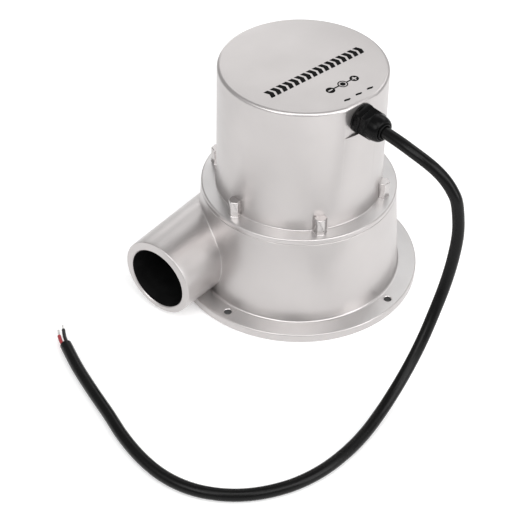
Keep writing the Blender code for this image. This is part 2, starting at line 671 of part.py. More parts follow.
def tube(name, points, radius, resolution, parent, finish):
    """A round lead along these points, as a curve with filled ends."""
    curve = bpy.data.curves.new(name, "CURVE")
    curve.dimensions = "3D"
    curve.bevel_depth = radius
    curve.bevel_resolution = resolution
    curve.render_resolution_u = 0
    curve.use_fill_caps = True
    line = curve.splines.new("POLY")
    line.points.add(len(points) - 1)
    for point, place_at in zip(line.points, points):
        point.co = (*place_at, 1.0)
    obj = bpy.data.objects.new(name, curve)
    bpy.context.collection.objects.link(obj)
    return place(obj, parent, finish)


def from_mm(points):
    return [Vector(point) * MM for point in points]


def sheath_points():
    """The sheath's route from inside the gland to its cut end."""
    outward = Matrix.Rotation(HOUSING_TURN, 4, "Z") @ Vector((0.0, -1.0, 0.0))
    height = Vector((0.0, 0.0, GLAND_HEIGHT))
    start = [outward * SHEATH_START + height, outward * (SHEATH_START + SHEATH_STRAIGHT) + height]
    return smooth_through(start + from_mm(ROUTE_MM), SHEATH_STEP)


def core(name, points, parent, finish, tip_finish):
    """One insulated core, and the bare strands that end it."""
    insulated = smooth_through(points[:-1], CORE_STEP)
    tube(name, insulated, CORE_RADIUS, 2, parent, finish)
    onward = (points[-1] - points[-2]).normalized()
    tube(f"{name}_tip", [points[-2] + onward * GAP, points[-1]], TIP_RADIUS, 2, parent, tip_finish)


def lead(axis, finishes_by_name):
    tube("cable_sheath", sheath_points(), SHEATH_RADIUS, 3, axis, finishes_by_name["black_rubber"])
    tip_finish = finishes_by_name["tinned_copper"]
    core("red_core", from_mm(RED_CORE_MM), axis, finishes_by_name["red_pvc"], tip_finish)
    core("black_core", from_mm(BLACK_CORE_MM), axis, finishes_by_name["black_pvc"], tip_finish)


def main():
    clear_scene()
    finishes_by_name = finishes()
    axis = bpy.data.objects.new("casing_axis", None)
    bpy.context.collection.objects.link(axis)
    axis.location = (AXIS_X, 0.0, 0.0)
    housing_axis = bpy.data.objects.new("housing_axis", None)
    bpy.context.collection.objects.link(housing_axis)
    housing_axis.parent = axis
    housing_axis.rotation_euler = (0.0, 0.0, HOUSING_TURN)
    volute_casing(axis, housing_axis, finishes_by_name["silver_paint"])
    housing_gasket(housing_axis, finishes_by_name["black_rubber"])
    generator_housing(housing_axis, finishes_by_name["silver_paint"])
    clamp_bolts(housing_axis, finishes_by_name["steel"])
    shaft_and_seal(housing_axis, finishes_by_name)
    turbine_runner(axis, finishes_by_name)
    cable_gland(housing_axis, finishes_by_name)
    lead(axis, finishes_by_name)
    bpy.context.view_layer.update()


main()
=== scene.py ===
"""Looks of the micro hydro generator: finer castings, bolts, gland, lead, finishes and studio.

The packed model is the fixed frame. Each operator makes one piece or a group of like pieces,
from the sizes and colours that the panel shows. Lengths are in metres and +Z is up.
"""

import math

import bmesh
import bpy
from bpy.props import FloatProperty, FloatVectorProperty, PointerProperty
from bpy.types import Operator, Panel, PropertyGroup
from mathutils import Matrix, Vector


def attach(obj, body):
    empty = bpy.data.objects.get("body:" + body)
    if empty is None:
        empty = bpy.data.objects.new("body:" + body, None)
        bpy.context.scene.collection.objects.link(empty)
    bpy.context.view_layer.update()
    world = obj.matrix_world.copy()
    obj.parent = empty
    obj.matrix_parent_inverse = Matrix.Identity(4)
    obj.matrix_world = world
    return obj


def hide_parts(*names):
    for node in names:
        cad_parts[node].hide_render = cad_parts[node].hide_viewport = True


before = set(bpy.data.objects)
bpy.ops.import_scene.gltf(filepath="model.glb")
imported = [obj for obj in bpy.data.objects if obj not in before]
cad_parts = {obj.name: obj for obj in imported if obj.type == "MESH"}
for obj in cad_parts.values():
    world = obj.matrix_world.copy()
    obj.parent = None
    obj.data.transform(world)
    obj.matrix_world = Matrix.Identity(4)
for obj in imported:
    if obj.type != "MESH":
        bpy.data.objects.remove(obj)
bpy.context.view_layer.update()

bl_info = {
    "name": "Micro Hydro Generator",
    "version": (1, 0, 0),
    "blender": (4, 5, 0),
    "location": "View3D > Sidebar > Hydro",
    "description": "Builds the castings, bolts, gland, lead and finishes of a micro hydro generator",
    "category": "Object",
}

MM = 0.001

# How many steps a full turn takes on the casing and housing, and on the inlet pipe
ROUND_STEPS = 192
PIPE_STEPS = 144

# Rounding of the drum's top edge at the seam
SEAM_ROUND = 0.8 * MM

# How far apart the rings of a wave texture lie when its scale is 1
RING_REPEAT = 0.314

# The lead's route in millimetres from the casing's axis, after its straight start in the gland
ROUTE_MM = [
    (-17.9, -103.5, 179.6),
    (-18.3, -114.0, 177.2),
    (-17.5, -123.5, 173.8),
    (-15.9, -132.2, 169.0),
    (-14.1, -140.0, 162.4),
    (-12.6, -146.5, 154.0),
    (-11.9, -151.2, 144.0),
    (-12.6, -155.2, 121.0),
    (-17.7, -156.5, 98.0),
    (-25.2, -156.5, 77.0),
    (-35.6, -156.3, 57.7),
    (-48.6, -156.8, 40.9),
    (-64.4, -157.5, 26.9),
    (-83.0, -158.6, 16.3),
    (-104.0, -160.2, 9.2),
    (-127.0, -161.8, 5.5),
    (-150.0, -161.8, 4.75),
    (-174.0, -158.9, 4.75),
    (-195.5, -152.1, 4.75),
    (-213.5, -141.9, 4.75),
    (-228.6, -129.0, 4.75),
    (-240.3, -113.2, 4.75),
    (-248.2, -94.7, 4.75),
    (-251.1, -73.5, 4.75),
    (-248.5, -50.5, 4.75),
    (-241.6, -26.3, 4.75),
    (-231.7, -1.8, 4.75),
    (-221.9, 23.8, 4.75),
    (-211.2, 49.5, 4.75),
    (-199.3, 73.5, 4.75),
]

# The cores from the sheath's end, in millimetres from the casing's axis, each with its bare tip last
RED_CORE_MM = [(-200.75, 74.65, 4.8), (-199.0, 79.0, 4.7), (-195.4, 84.6, 4.5), (-190.5, 90.2, 4.2)]
BLACK_CORE_MM = [(-197.55, 73.0, 4.8), (-193.9, 79.8, 4.7), (-188.2, 87.0, 4.5), (-184.7, 91.3, 4.2)]

# How far each bolt's head is turned about its own axis, in degrees
HEAD_TURNS = (12, 40, 15, 11, 23, 0)

# Where the arrows and the waves of the print stand along the housing's X, in millimetres
ARROWS_MM = [-44.5 + 6.05 * i for i in range(16)]
WAVES_MM = [-6.7, 5.0, 16.6]

# Azimuth and elevation in degrees and power in watts of each soft light
LIGHTS = {
    "light_above": (-143.9, 65, 5.0),
    "light_left": (-173.9, 40, 6.6),
    "light_far_left": (156.1, 40, 1.6),
    "light_front": (-113.9, 40, 5.4),
    "light_right": (-83.9, 40, 4.7),
    "light_low": (-83.9, 15, 5.8),
    "light_side": (-43.9, 40, 1.0),
    "light_far_right": (-3.9, 40, 2.7),
    "light_back": (36.1, 40, 1.7),
    "light_back_low": (50.0, 14, 2.0),
}

# Distance of the lights from the machine's middle, and the length of their sides
LIGHT_DISTANCE = 1.6
LIGHT_SIZE = 0.75


def length(name, description, millimetres):
    """A length that the user can change, with its default given in millimetres."""
    return FloatProperty(
        name=name, description=description, default=millimetres * MM, unit="LENGTH", precision=4,
    )


def turn(name, description, degrees):
    """An angle that the user can change, with its default given in degrees."""
    return FloatProperty(
        name=name, description=description, default=math.radians(degrees), subtype="ANGLE",
    )


def share(name, description, value):
    """A number from 0 to 1 that the user can change."""
    return FloatProperty(
        name=name, description=description, default=value, min=0.0, max=1.0, subtype="FACTOR",
    )


def colour(name, description, value):
    """A colour that the user can change."""
    return FloatVectorProperty(
        name=name, description=description, default=value, min=0.0, max=1.0, subtype="COLOR",
    )


class CasingSizes(PropertyGroup):
    """Sizes of the volute casing."""

    flange_radius: length("Flange radius", "Outside radius of the base flange", 100)
    flange_thickness: length("Flange thickness", "Height of the base flange", 7.7)
    flange_edge: length("Flange edge", "Rounding of the base flange's edges", 1.2)
    drum_foot: length("Drum foot radius", "Outside radius of the drum just over the flange", 84.3)
    drum_head: length("Drum top radius", "Outside radius of the drum at the seam", 78.6)
    drum_top: length("Drum height", "Height of the seam over the floor", 82.2)
    foot_fillet: length("Foot fillet", "Hollow rounding between flange and drum", 2)
    chamber_radius: length("Chamber radius", "Inside radius of the water chamber", 74.3)
    mouth_radius: length("Mouth radius", "Opening of the drum under the housing", 62)
    outlet_radius: length("Outlet radius", "Hole in the base that the water leaves by", 32)
    hole_radius: length("Mounting hole radius", "Radius of the holes in the flange", 3)
    hole_circle: length("Mounting hole circle", "Distance of the holes from the axis", 92)
    hole_turn: turn("Mounting hole turn", "Angle of the first hole", 1.2)
    inlet_reach: length("Inlet reach", "Distance of the pipe's mouth from the axis", 120.7)
    inlet_offset: length("Inlet offset", "How far the pipe runs beside the axis", 46.7)
    inlet_height: length("Inlet height", "Height of the pipe's middle", 36)
    inlet_radius: length("Inlet radius", "Outside radius of the pipe's mouth", 32.4)
    inlet_draft: FloatProperty(name="Inlet draft", description="Widening of the pipe", default=0.022)
    inlet_bore: length("Inlet bore", "Inside radius of the pipe", 26.1)
    bore_aside: length("Bore aside", "How far the bore lies beside the pipe's middle", 0.6)
    bore_drop: length("Bore drop", "How far the bore lies below the pipe's middle", 1.8)
    crease_fillet: length("Crease fillet", "Hollow rounding between pipe and drum", 0.9)
    parting_turn: turn("Parting line", "Angle of the mould's parting line about the axis", -176)


class HousingSizes(PropertyGroup):
    """Sizes of the generator housing and its bolts."""

    turned_by: turn("Turn", "Angle of the housing on the casing", -9.9)
    flange_top: length("Flange top", "Height of the bolting flange's top", 87.1)
    can_foot: length("Can foot radius", "Radius of the can at the flange", 66.4)
    can_head: length("Can top radius", "Radius of the can at its top", 65.5)
    can_top: length("Can top", "Height of the can's top", 195)
    rim_round: length("Rim rounding", "Rounding of the can's top edge", 2.7)
    foot_fillet: length("Can foot fillet", "Hollow rounding at the can's foot", 1.1)
    flat: length("Flat", "Distance of the gland's flat from the axis", 63.6)
    flat_bottom: length("Flat's lower end", "Height where the flat begins", 168.3)
    bolt_circle: length("Bolt circle", "Distance of the clamp bolts from the axis", 68.8)
    bolt_width: length("Bolt width", "Width of a bolt's head across its flats", 9.2)
    bolt_height: length("Bolt height", "Height of a bolt's head", 13.9)


class GlandSizes(PropertyGroup):
    """Sizes of the cable gland, and of the lead that leaves it."""

    height: length("Height", "Height of the gland's middle", 180.3)
    width: length("Width", "Width of the gland across its flats", 22)
    turned_by: turn("Turn", "Angle of the hexagons about the gland's middle", 16.2)
    sheath_radius: length("Sheath radius", "Radius of the lead", 4.65)
    core_radius: length("Core radius", "Radius of a core with its insulation", 1.45)
    tip_radius: length("Tip radius", "Radius of the bare strands", 0.95)


class Finishes(PropertyGroup):
    """Colours and gloss of the finishes."""

    silver: colour("Silver", "Painted castings and bolts", (0.518, 0.495, 0.489))
    silver_gloss: share("Silver roughness", "Roughness of the silver paint", 0.34)
    silver_metal: share("Silver metal", "How metallic the silver paint is", 0.9)
    # Painted shade: the near-black inside colour stands for the shade in the chamber and bore.
    inside_shade: colour("Lining", "Coating inside the casing", (0.0055, 0.0055, 0.0055))
    nylon: colour("Nylon", "Gland", (0.0018, 0.0018, 0.0019))
    rubber: colour("Rubber", "Lead and seals", (0.002, 0.002, 0.002))
    ink: colour("Ink", "Printed marks", (0.004, 0.004, 0.004))
    red: colour("Red core", "Insulation of the red core", (0.33, 0.022, 0.03))
    bronze: colour("Bronze", "Runner", (0.48, 0.32, 0.15))
    steel: colour("Steel", "Shaft, plate and screws", (0.55, 0.55, 0.55))
    tin: colour("Tin", "Bare strands", (0.9, 0.89, 0.87))


class Studio(PropertyGroup):
    """Floor, lights and camera."""

    floor: colour("Floor", "Colour of the floor", (0.82, 0.82, 0.82))
    glow: FloatProperty(
        name="Floor glow", description="Light that the floor gives off", default=0.28, min=0.0,
    )
    world: FloatProperty(name="World light", description="Light from all round", default=0.48, min=0.0)
    focal: FloatProperty(
        name="Focal length", description="Of the camera, in millimetres", default=100.43, min=10.0,
    )


def shaded(obj, angle=30.0):
    """Shade the round faces smooth and keep the edges over this angle sharp."""
    obj.data.shade_smooth()
    obj.data.set_sharp_from_angle(angle=math.radians(angle))
    return obj


def mesh_object(name, shape):
    """Turn a bmesh into an object in the scene, with its faces pointing out."""
    bmesh.ops.recalc_face_normals(shape, faces=shape.faces)
    mesh = bpy.data.meshes.new(name)
    shape.to_mesh(mesh)
    shape.free()
    obj = bpy.data.objects.new(name, mesh)
    bpy.context.scene.collection.objects.link(obj)
    return obj


def turned(name, profile, steps=ROUND_STEPS):
    """A solid of revolution about Z from a closed outline of (radius, height) points."""
    shape = bmesh.new()
    verts = [shape.verts.new((radius, 0.0, height)) for radius, height in profile]
    edges = [shape.edges.new((verts[i], verts[(i + 1) % len(verts)])) for i in range(len(verts))]
    bmesh.ops.spin(
        shape, geom=verts + edges, cent=(0, 0, 0), axis=(0, 0, 1), angle=2 * math.pi, steps=steps,
        use_merge=True,
    )
    bmesh.ops.remove_doubles(shape, verts=shape.verts, dist=0.005 * MM)
    loose = [edge for edge in shape.edges if not edge.link_faces]
    bmesh.ops.delete(shape, geom=loose, context="EDGES")
    return mesh_object(name, shape)


def arc(radius_at, height_at, round_radius, start, end, steps=6):
    """Points on an arc in the (radius, height) plane, with angles in degrees."""
    points = []
    for i in range(steps + 1):
        angle = math.radians(start + (end - start) * i / steps)
        radius = radius_at + round_radius * math.cos(angle)
        points.append((radius, height_at + round_radius * math.sin(angle)))
    return points


def circle(radius, steps, x=0.0, y=0.0):
    """Points round a circle, turned half a step so that no corner lies on a neighbour's edge."""
    angles = [2 * math.pi * (i + 0.5) / steps for i in range(steps)]
    return [(x + radius * math.cos(angle), y + radius * math.sin(angle)) for angle in angles]


def hexagon(width, start):
    """The corners of a hexagon of this width across its flats, the first one at this angle."""
    radius = width / math.sqrt(3)
    angles = [start + math.radians(60 * i) for i in range(6)]
    return [(radius * math.cos(angle), radius * math.sin(angle)) for angle in angles]


def prisms(name, outlines, bottom, top):
    """Straight solids over flat outlines of (x, y) points, which don't touch each other."""
    shape = bmesh.new()
    faces = []
    for outline in outlines:
        faces.append(shape.faces.new([shape.verts.new((x, y, bottom)) for x, y in outline]))
    raised = bmesh.ops.extrude_face_region(shape, geom=faces)
    verts = [item for item in raised["geom"] if isinstance(item, bmesh.types.BMVert)]
    bmesh.ops.translate(shape, verts=verts, vec=(0, 0, top - bottom))
    return mesh_object(name, shape)


def lofted(name, rings):
    """A solid through rings of equally many points, closed at both ends."""
    shape = bmesh.new()
    rows = [[shape.verts.new(point) for point in ring] for ring in rings]
    count = len(rows[0])
    for low, high in zip(rows, rows[1:]):
        for i in range(count):
            j = (i + 1) % count
            shape.faces.new((low[i], low[j], high[j], high[i]))
    shape.faces.new(rows[0])
    shape.faces.new(rows[-1])
    return mesh_object(name, shape)


def moved(obj, matrix):
    """Move the mesh itself, so that the object stays at the origin."""
    obj.data.transform(matrix)
    return obj


def settle(obj):
    """Keep what the modifiers make of the mesh, and drop the modifiers."""
    bpy.context.view_layer.update()
    seen = obj.evaluated_get(bpy.context.evaluated_depsgraph_get())
    mesh = bpy.data.meshes.new_from_object(seen)
    obj.modifiers.clear()
    old = obj.data
    obj.data = mesh
    bpy.data.meshes.remove(old)
    return obj


def combined(obj, others, operation="DIFFERENCE"):
    """Cut the other shapes from the object, or add them to it, and delete them."""
    for other in others:
        step = obj.modifiers.new(other.name, "BOOLEAN")
        step.operation = operation
        step.solver = "EXACT"
        step.object = other
    settle(obj)
    for other in others:
        bpy.data.objects.remove(other, do_unlink=True)
    return obj


def softened(obj, width, segments, angle=30.0):
    """Give the edges over this angle a small rounding that catches the light."""
    bevel = obj.modifiers.new("soft_edges", "BEVEL")
    bevel.width = width
    bevel.segments = segments
    bevel.limit_method = "ANGLE"
    bevel.angle_limit = math.radians(angle)
    bevel.harden_normals = True
    return settle(obj)


def round_the_axis(count, radius, start):
    """The (x, y, angle) of places spaced evenly on a circle."""
    angles = [start + 2 * math.pi * i / count for i in range(count)]
    return [(radius * math.cos(angle), radius * math.sin(angle), angle) for angle in angles]


def axis_place(sizes):
    """Where the casing's axis stands: off the origin, because the pipe reaches past the flange."""
    return Matrix.Translation(((sizes.inlet_reach - sizes.flange_radius) / 2, 0, 0))


def housing_place(scene):
    """The casing's axis, turned as the housing is."""
    turned_by = scene.hydro_housing.turned_by
    return axis_place(scene.hydro_casing) @ Matrix.Rotation(turned_by, 4, "Z")


def bolt_places(sizes):
    """The (x, y, angle) of the six clamp bolts about the housing's axis."""
    return round_the_axis(6, sizes.bolt_circle, math.radians(0.9))


def finished(obj, body, finish, nodes=()):
    """Give a piece its body, its finish and the nodes that it stands for."""
    if not obj.data.materials:
        obj.data.materials.append(finish)
    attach(obj, body)
    if nodes:
        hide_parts(*nodes)
    return obj


class Weave:
    """A material under construction: its nodes, its shader and the object's coordinates."""

    def __init__(self, name, base, roughness, metallic=0.0, specular=0.5):
        self.base = base
        self.material = bpy.data.materials.new(name)
        self.material.use_nodes = True
        self.nodes = self.material.node_tree.nodes
        self.links = self.material.node_tree.links
        self.shader = self.nodes["Principled BSDF"]
        self.shader.inputs["Base Color"].default_value = (*base, 1.0)
        self.shader.inputs["Roughness"].default_value = roughness
        self.shader.inputs["Metallic"].default_value = metallic
        self.shader.inputs["Specular IOR Level"].default_value = specular
        self.place = self.nodes.new("ShaderNodeTexCoord").outputs["Object"]
        self.material.diffuse_color = (*base, 1.0)

    def noise(self, size, detail):
        """Noise with features about this size."""
        texture = self.nodes.new("ShaderNodeTexNoise")
        texture.inputs["Scale"].default_value = 1.0 / size
        texture.inputs["Detail"].default_value = detail
        self.links.new(self.place, texture.inputs["Vector"])
        return texture.outputs["Fac"]

    def rings(self, centre, spacing):
        """Fine turned rings about an upright axis, a little uneven."""
        shifted = self.nodes.new("ShaderNodeMapping")
        shifted.inputs["Location"].default_value = (-centre.x, -centre.y, 0.0)
        self.links.new(self.place, shifted.inputs["Vector"])
        texture = self.nodes.new("ShaderNodeTexWave")
        texture.wave_type = "RINGS"
        texture.rings_direction = "Z"
        texture.inputs["Scale"].default_value = RING_REPEAT / spacing
        texture.inputs["Distortion"].default_value = 0.6
        texture.inputs["Detail"].default_value = 2.0
        texture.inputs["Detail Scale"].default_value = 3.0
        self.links.new(shifted.outputs["Vector"], texture.inputs["Vector"])
        return texture.outputs["Fac"]

    def spread(self, value, low, high):
        """Map the middle half of a noise's range onto the range from low to high."""
        ranged = self.nodes.new("ShaderNodeMapRange")
        ranged.inputs["From Min"].default_value = 0.25
        ranged.inputs["From Max"].default_value = 0.75
        ranged.inputs["To Min"].default_value = low
        ranged.inputs["To Max"].default_value = high
        self.links.new(value, ranged.inputs["Value"])
        return ranged.outputs["Result"]

    def tint(self, size, detail, low, high):
        """Let the colour wander between two shares of the base colour."""
        mix = self.nodes.new("ShaderNodeMix")
        mix.data_type = "RGBA"
        mix.inputs[6].default_value = (*toned(self.base, low), 1.0)
        mix.inputs[7].default_value = (*toned(self.base, high), 1.0)
        self.links.new(self.spread(self.noise(size, detail), 0.0, 1.0), mix.inputs[0])
        self.links.new(mix.outputs[2], self.shader.inputs["Base Color"])

    def gloss(self, size, detail, low, high):
        """Let the roughness wander between two values."""
        wander = self.spread(self.noise(size, detail), low, high)
        self.links.new(wander, self.shader.inputs["Roughness"])

    def relief(self, *layers):
        """Stack bumps, each with its height in metres."""
        normal = None
        for value, height in layers:
            bump = self.nodes.new("ShaderNodeBump")
            bump.inputs["Strength"].default_value = 1.0
            bump.inputs["Distance"].default_value = height
            self.links.new(value, bump.inputs["Height"])
            if normal:
                self.links.new(normal, bump.inputs["Normal"])
            normal = bump.outputs["Normal"]
        self.links.new(normal, self.shader.inputs["Normal"])


def toned(base, factor):
    """The same colour, darker or lighter."""
    return tuple(min(1.0, part * factor) for part in base)


def silver_paint(scene, name):
    """Satin silver paint on a fine cast skin."""
    looks = scene.hydro_finishes
    rough = looks.silver_gloss
    weave = Weave(name, tuple(looks.silver), rough, looks.silver_metal)
    weave.tint(38 * MM, 3.0, 0.97, 1.03)
    weave.gloss(21 * MM, 3.0, rough - 0.025, rough + 0.03)
    skin, flakes = weave.noise(1.3 * MM, 3.0), weave.noise(0.25 * MM, 1.0)
    weave.relief((skin, 0.012 * MM), (flakes, 0.002 * MM))
    return weave.material


def turned_silver(scene, name):
    """The flanges' upper faces: silver paint over fine turning marks, a little greyer."""
    looks = scene.hydro_finishes
    grey = sum(looks.silver) / 3
    rough = looks.silver_gloss
    weave = Weave(name, tuple((tone + grey) / 2 for tone in looks.silver), rough, looks.silver_metal)
    weave.tint(24 * MM, 3.0, 1.1, 1.18)
    weave.gloss(17 * MM, 3.0, rough - 0.03, rough + 0.03)
    rings = weave.rings(axis_place(scene.hydro_casing).translation, 0.9 * MM)
    weave.relief((rings, 0.006 * MM), (weave.noise(1.1 * MM, 3.0), 0.01 * MM))
    return weave.material


def bolt_silver(scene):
    """Silver bolts, a little glossier than the castings."""
    looks = scene.hydro_finishes
    weave = Weave("bolt_silver", tuple(looks.silver), 0.22, looks.silver_metal)
    weave.tint(6 * MM, 3.0, 0.95, 1.04)
    weave.gloss(5 * MM, 2.0, 0.19, 0.25)
    weave.relief((weave.noise(0.7 * MM, 3.0), 0.002 * MM))
    return weave.material


def painted_shade_inside(scene):
    """Painted shade: a near-black colour on the water chamber and the pipe's bore, for the shade inside
    them.
    """
    weave = Weave("painted_shade_inside", tuple(scene.hydro_finishes.inside_shade), 0.6, specular=0.12)
    weave.tint(9 * MM, 3.0, 0.7, 1.5)
    weave.gloss(5 * MM, 2.0, 0.5, 0.72)
    weave.relief((weave.noise(1.8 * MM, 3.0), 0.05 * MM))
    return weave.material


def black_nylon(scene):
    """Moulded black nylon with a faint grain."""
    weave = Weave("black_nylon", tuple(scene.hydro_finishes.nylon), 0.26, specular=0.11)
    weave.tint(6 * MM, 2.0, 0.8, 1.3)
    weave.gloss(4 * MM, 2.0, 0.2, 0.32)
    weave.relief((weave.noise(0.45 * MM, 2.0), 0.012 * MM))
    return weave.material


def black_rubber(scene, name, rough):
    """Black rubber with a soft sheen, slightly uneven as drawn sheath is."""
    weave = Weave(name, tuple(scene.hydro_finishes.rubber), rough, specular=0.17)
    weave.tint(14 * MM, 3.0, 0.8, 1.5)
    weave.gloss(9 * MM, 3.0, rough - 0.07, rough + 0.08)
    weave.relief((weave.noise(5 * MM, 2.0), 0.06 * MM), (weave.noise(0.5 * MM, 2.0), 0.01 * MM))
    return weave.material


def core_plastic(name, base):
    """Smooth insulation of a core."""
    weave = Weave(name, base, 0.38)
    weave.tint(4 * MM, 2.0, 0.85, 1.1)
    weave.gloss(2 * MM, 2.0, 0.32, 0.44)
    weave.relief((weave.noise(1.2 * MM, 2.0), 0.02 * MM))
    return weave.material


def bare_metal(name, base, rough, grain):
    """Plain machined or cast metal with a fine grain and slight stains."""
    weave = Weave(name, base, rough, 1.0)
    weave.tint(11 * MM, 4.0, 0.82, 1.06)
    weave.gloss(6 * MM, 3.0, rough - 0.06, rough + 0.1)
    weave.relief((weave.noise(grain, 3.0), 0.02 * MM))
    return weave.material


def printed_ink(scene):
    """Black screen-printed ink."""
    weave = Weave("printed_ink", tuple(scene.hydro_finishes.ink), 0.6, specular=0.03)
    weave.tint(3 * MM, 2.0, 0.8, 1.6)
    weave.gloss(1.5 * MM, 2.0, 0.42, 0.6)
    weave.relief((weave.noise(0.6 * MM, 2.0), 0.004 * MM))
    return weave.material


def drum_slope(sizes):
    """How fast the drum's radius grows with height."""
    rise = sizes.drum_top - SEAM_ROUND - sizes.flange_thickness - sizes.foot_fillet
    return (sizes.drum_head - sizes.drum_foot) / rise


def drum_radius(sizes, height):
    """The drum's outside radius at a height."""
    start = sizes.flange_thickness + sizes.foot_fillet
    return sizes.drum_foot + drum_slope(sizes) * (height - start)


def crease_ring(sizes, angle, ball):
    """The hollow rounding's cross-section where the pipe meets the drum, at one angle of the pipe."""
    slope = drum_slope(sizes)
    draft = sizes.inlet_draft
    off_pipe = Vector((-draft, math.cos(angle), math.sin(angle))).normalized()

    def centre(x):
        """A ball's middle that touches the pipe at this length of it."""
        radius = sizes.inlet_radius + draft * (x + sizes.inlet_reach)
        y = sizes.inlet_offset + radius * math.cos(angle)
        z = sizes.inlet_height + radius * math.sin(angle)
        return Vector((x, y, z)) + off_pipe * ball

    def clearance(x):
        """How far that ball is from the drum."""
        point = centre(x)
        gap = math.hypot(point.x, point.y) - drum_radius(sizes, point.z)
        return gap / math.hypot(1.0, slope) - ball

    near, far, halvings = 0.0, -sizes.inlet_reach, 40
    for _ in range(halvings):
        middle = (near + far) / 2
        if clearance(middle) > 0:
            far = middle
        else:
            near = middle
    point = centre(near)
    off_drum = Vector((point.x, point.y, 0.0)).normalized()
    off_drum.z = -slope
    off_drum.normalize()
    sunk, rooted, root, steps = 0.03 * MM, 0.5 * MM, ball * 1.6 + 1.2 * MM, 6
    ring = [point - off_pipe * (ball + rooted)]
    for i in range(steps + 1):
        away = off_pipe.slerp(off_drum, i / steps)
        ring.append(point - away * (ball + sunk))
    ring.append(point - off_drum * (ball + rooted))
    between = (off_pipe + off_drum).normalized()
    ring.append(point - between * root)
    return ring


def crease_fillet(sizes):
    """The hollow rounding all along the pipe's meeting with the drum, tighter on its lower front."""
    first, last, steps = -62, 242, 120
    tight_from, tight_over = 120, 30
    rings = []
    for i in range(steps + 1):
        angle = first + (last - first) * i / steps
        tight = min(1.0, max(0.0, (angle - tight_from) / tight_over))
        rings.append(crease_ring(sizes, math.radians(angle), sizes.crease_fillet * (1 - 0.6 * tight)))
    return lofted("crease", rings)


def casing_shape(sizes):
    """The casting: base flange, drum, inlet pipe, chamber, bore, outlet and holes."""
    edge = sizes.flange_edge
    rim = sizes.flange_radius - edge
    top = sizes.flange_thickness
    fillet = sizes.foot_fillet
    seam = SEAM_ROUND
    ledge, recess = 75.8 * MM, sizes.drum_top - 0.9 * MM
    outline = [(0, 0)] + arc(rim, edge, edge, -90, 0) + arc(rim, top - edge, edge, 0, 90)
    outline += arc(sizes.drum_foot + fillet, top + fillet, fillet, -90, -180)
    outline += arc(sizes.drum_head - seam, sizes.drum_top - seam, seam, 0, 90)
    outline += [(ledge, sizes.drum_top), (ledge, recess), (0, recess)]
    casing = turned("casing", outline)
    along = Matrix.Translation((-sizes.inlet_reach, sizes.inlet_offset, sizes.inlet_height))
    along @= Matrix.Rotation(math.radians(90), 4, "Y")
    reach = sizes.inlet_reach + 2 * MM
    outside, rounding, steps = sizes.inlet_radius, 0.7 * MM, 24
    outline = [(0, 0)] + arc(outside - rounding, rounding, rounding, -90, 0)
    for i in range(1, steps + 1):
        outline.append((outside + sizes.inlet_draft * reach * i / steps, reach * i / steps))
    pipe = moved(turned("pipe", outline + [(0, reach)], PIPE_STEPS), along)
    combined(casing, [pipe, crease_fillet(sizes)], "UNION")
    chamber_floor, chamber_top, over, easing = 7 * MM, 63 * MM, 1 * MM, 1 * MM
    space = turned("chamber", [
        (0, -over), (sizes.outlet_radius + easing + over, -over),
        (sizes.outlet_radius, easing), (sizes.outlet_radius, chamber_floor),
        (sizes.chamber_radius, chamber_floor), (sizes.chamber_radius, chamber_top),
        (sizes.mouth_radius, chamber_top), (sizes.mouth_radius, sizes.drum_top + over),
        (0, sizes.drum_top + over),
    ], 150)
    chamfer, bore_end = 0.7 * MM, sizes.inlet_reach - 3 * MM
    bore = turned("bore", [
        (0, -over), (sizes.inlet_bore + chamfer + over, -over), (sizes.inlet_bore, chamfer),
        (sizes.inlet_bore, bore_end), (0, bore_end),
    ], 120)
    holes, sink = [], 0.5 * MM
    for x, y, angle in round_the_axis(4, sizes.hole_circle, sizes.hole_turn):
        hole = turned("hole", [
            (0, -over), (sizes.hole_radius, -over), (sizes.hole_radius, top - sink),
            (sizes.hole_radius + sink + over, top + over), (0, top + over),
        ], 40)
        holes.append(moved(hole, Matrix.Translation((x, y, 0))))
    moved(bore, Matrix.Translation((0, sizes.bore_aside, -sizes.bore_drop)) @ along)
    return combined(casing, [space, bore] + holes)


def parting_ridge(sizes):
    """The low ridge that the mould left over the flange and up the drum, fading at its upper end."""
    top, rim = sizes.flange_thickness, sizes.flange_radius
    fillet, proud, half, sunk = sizes.foot_fillet, 0.1 * MM, 0.2 * MM, -0.3 * MM
    easing = sizes.flange_edge * 0.3
    path = [(rim, 1.5 * MM, 0), (rim, top - sizes.flange_edge, 0), (rim - easing, top - easing, 45)]
    path += [(rim - sizes.flange_edge, top, 90), (sizes.drum_foot + fillet, top, 90)]
    path += [(sizes.drum_foot + fillet * 0.3, top + fillet * 0.3, 45)]
    for height in (top + fillet, 15 * MM, 21 * MM, 27 * MM, 33 * MM):
        path.append((drum_radius(sizes, height), height, 0))
    rings = []
    for i, (radius, height, lean) in enumerate(path):
        crest = proud * min(1.0, (len(path) - 1 - i) / 4)
        out, up = math.cos(math.radians(lean)), math.sin(math.radians(lean))
        ring = []
        for across, away in ((-half, sunk), (half, sunk), (half, 0.0), (0.0, crest), (-half, 0.0)):
            ring.append((radius + out * away, across, height + up * away))
        rings.append(ring)
    ridge = lofted("casing_parting_line", rings)
    return moved(ridge, Matrix.Rotation(sizes.parting_turn, 4, "Z"))


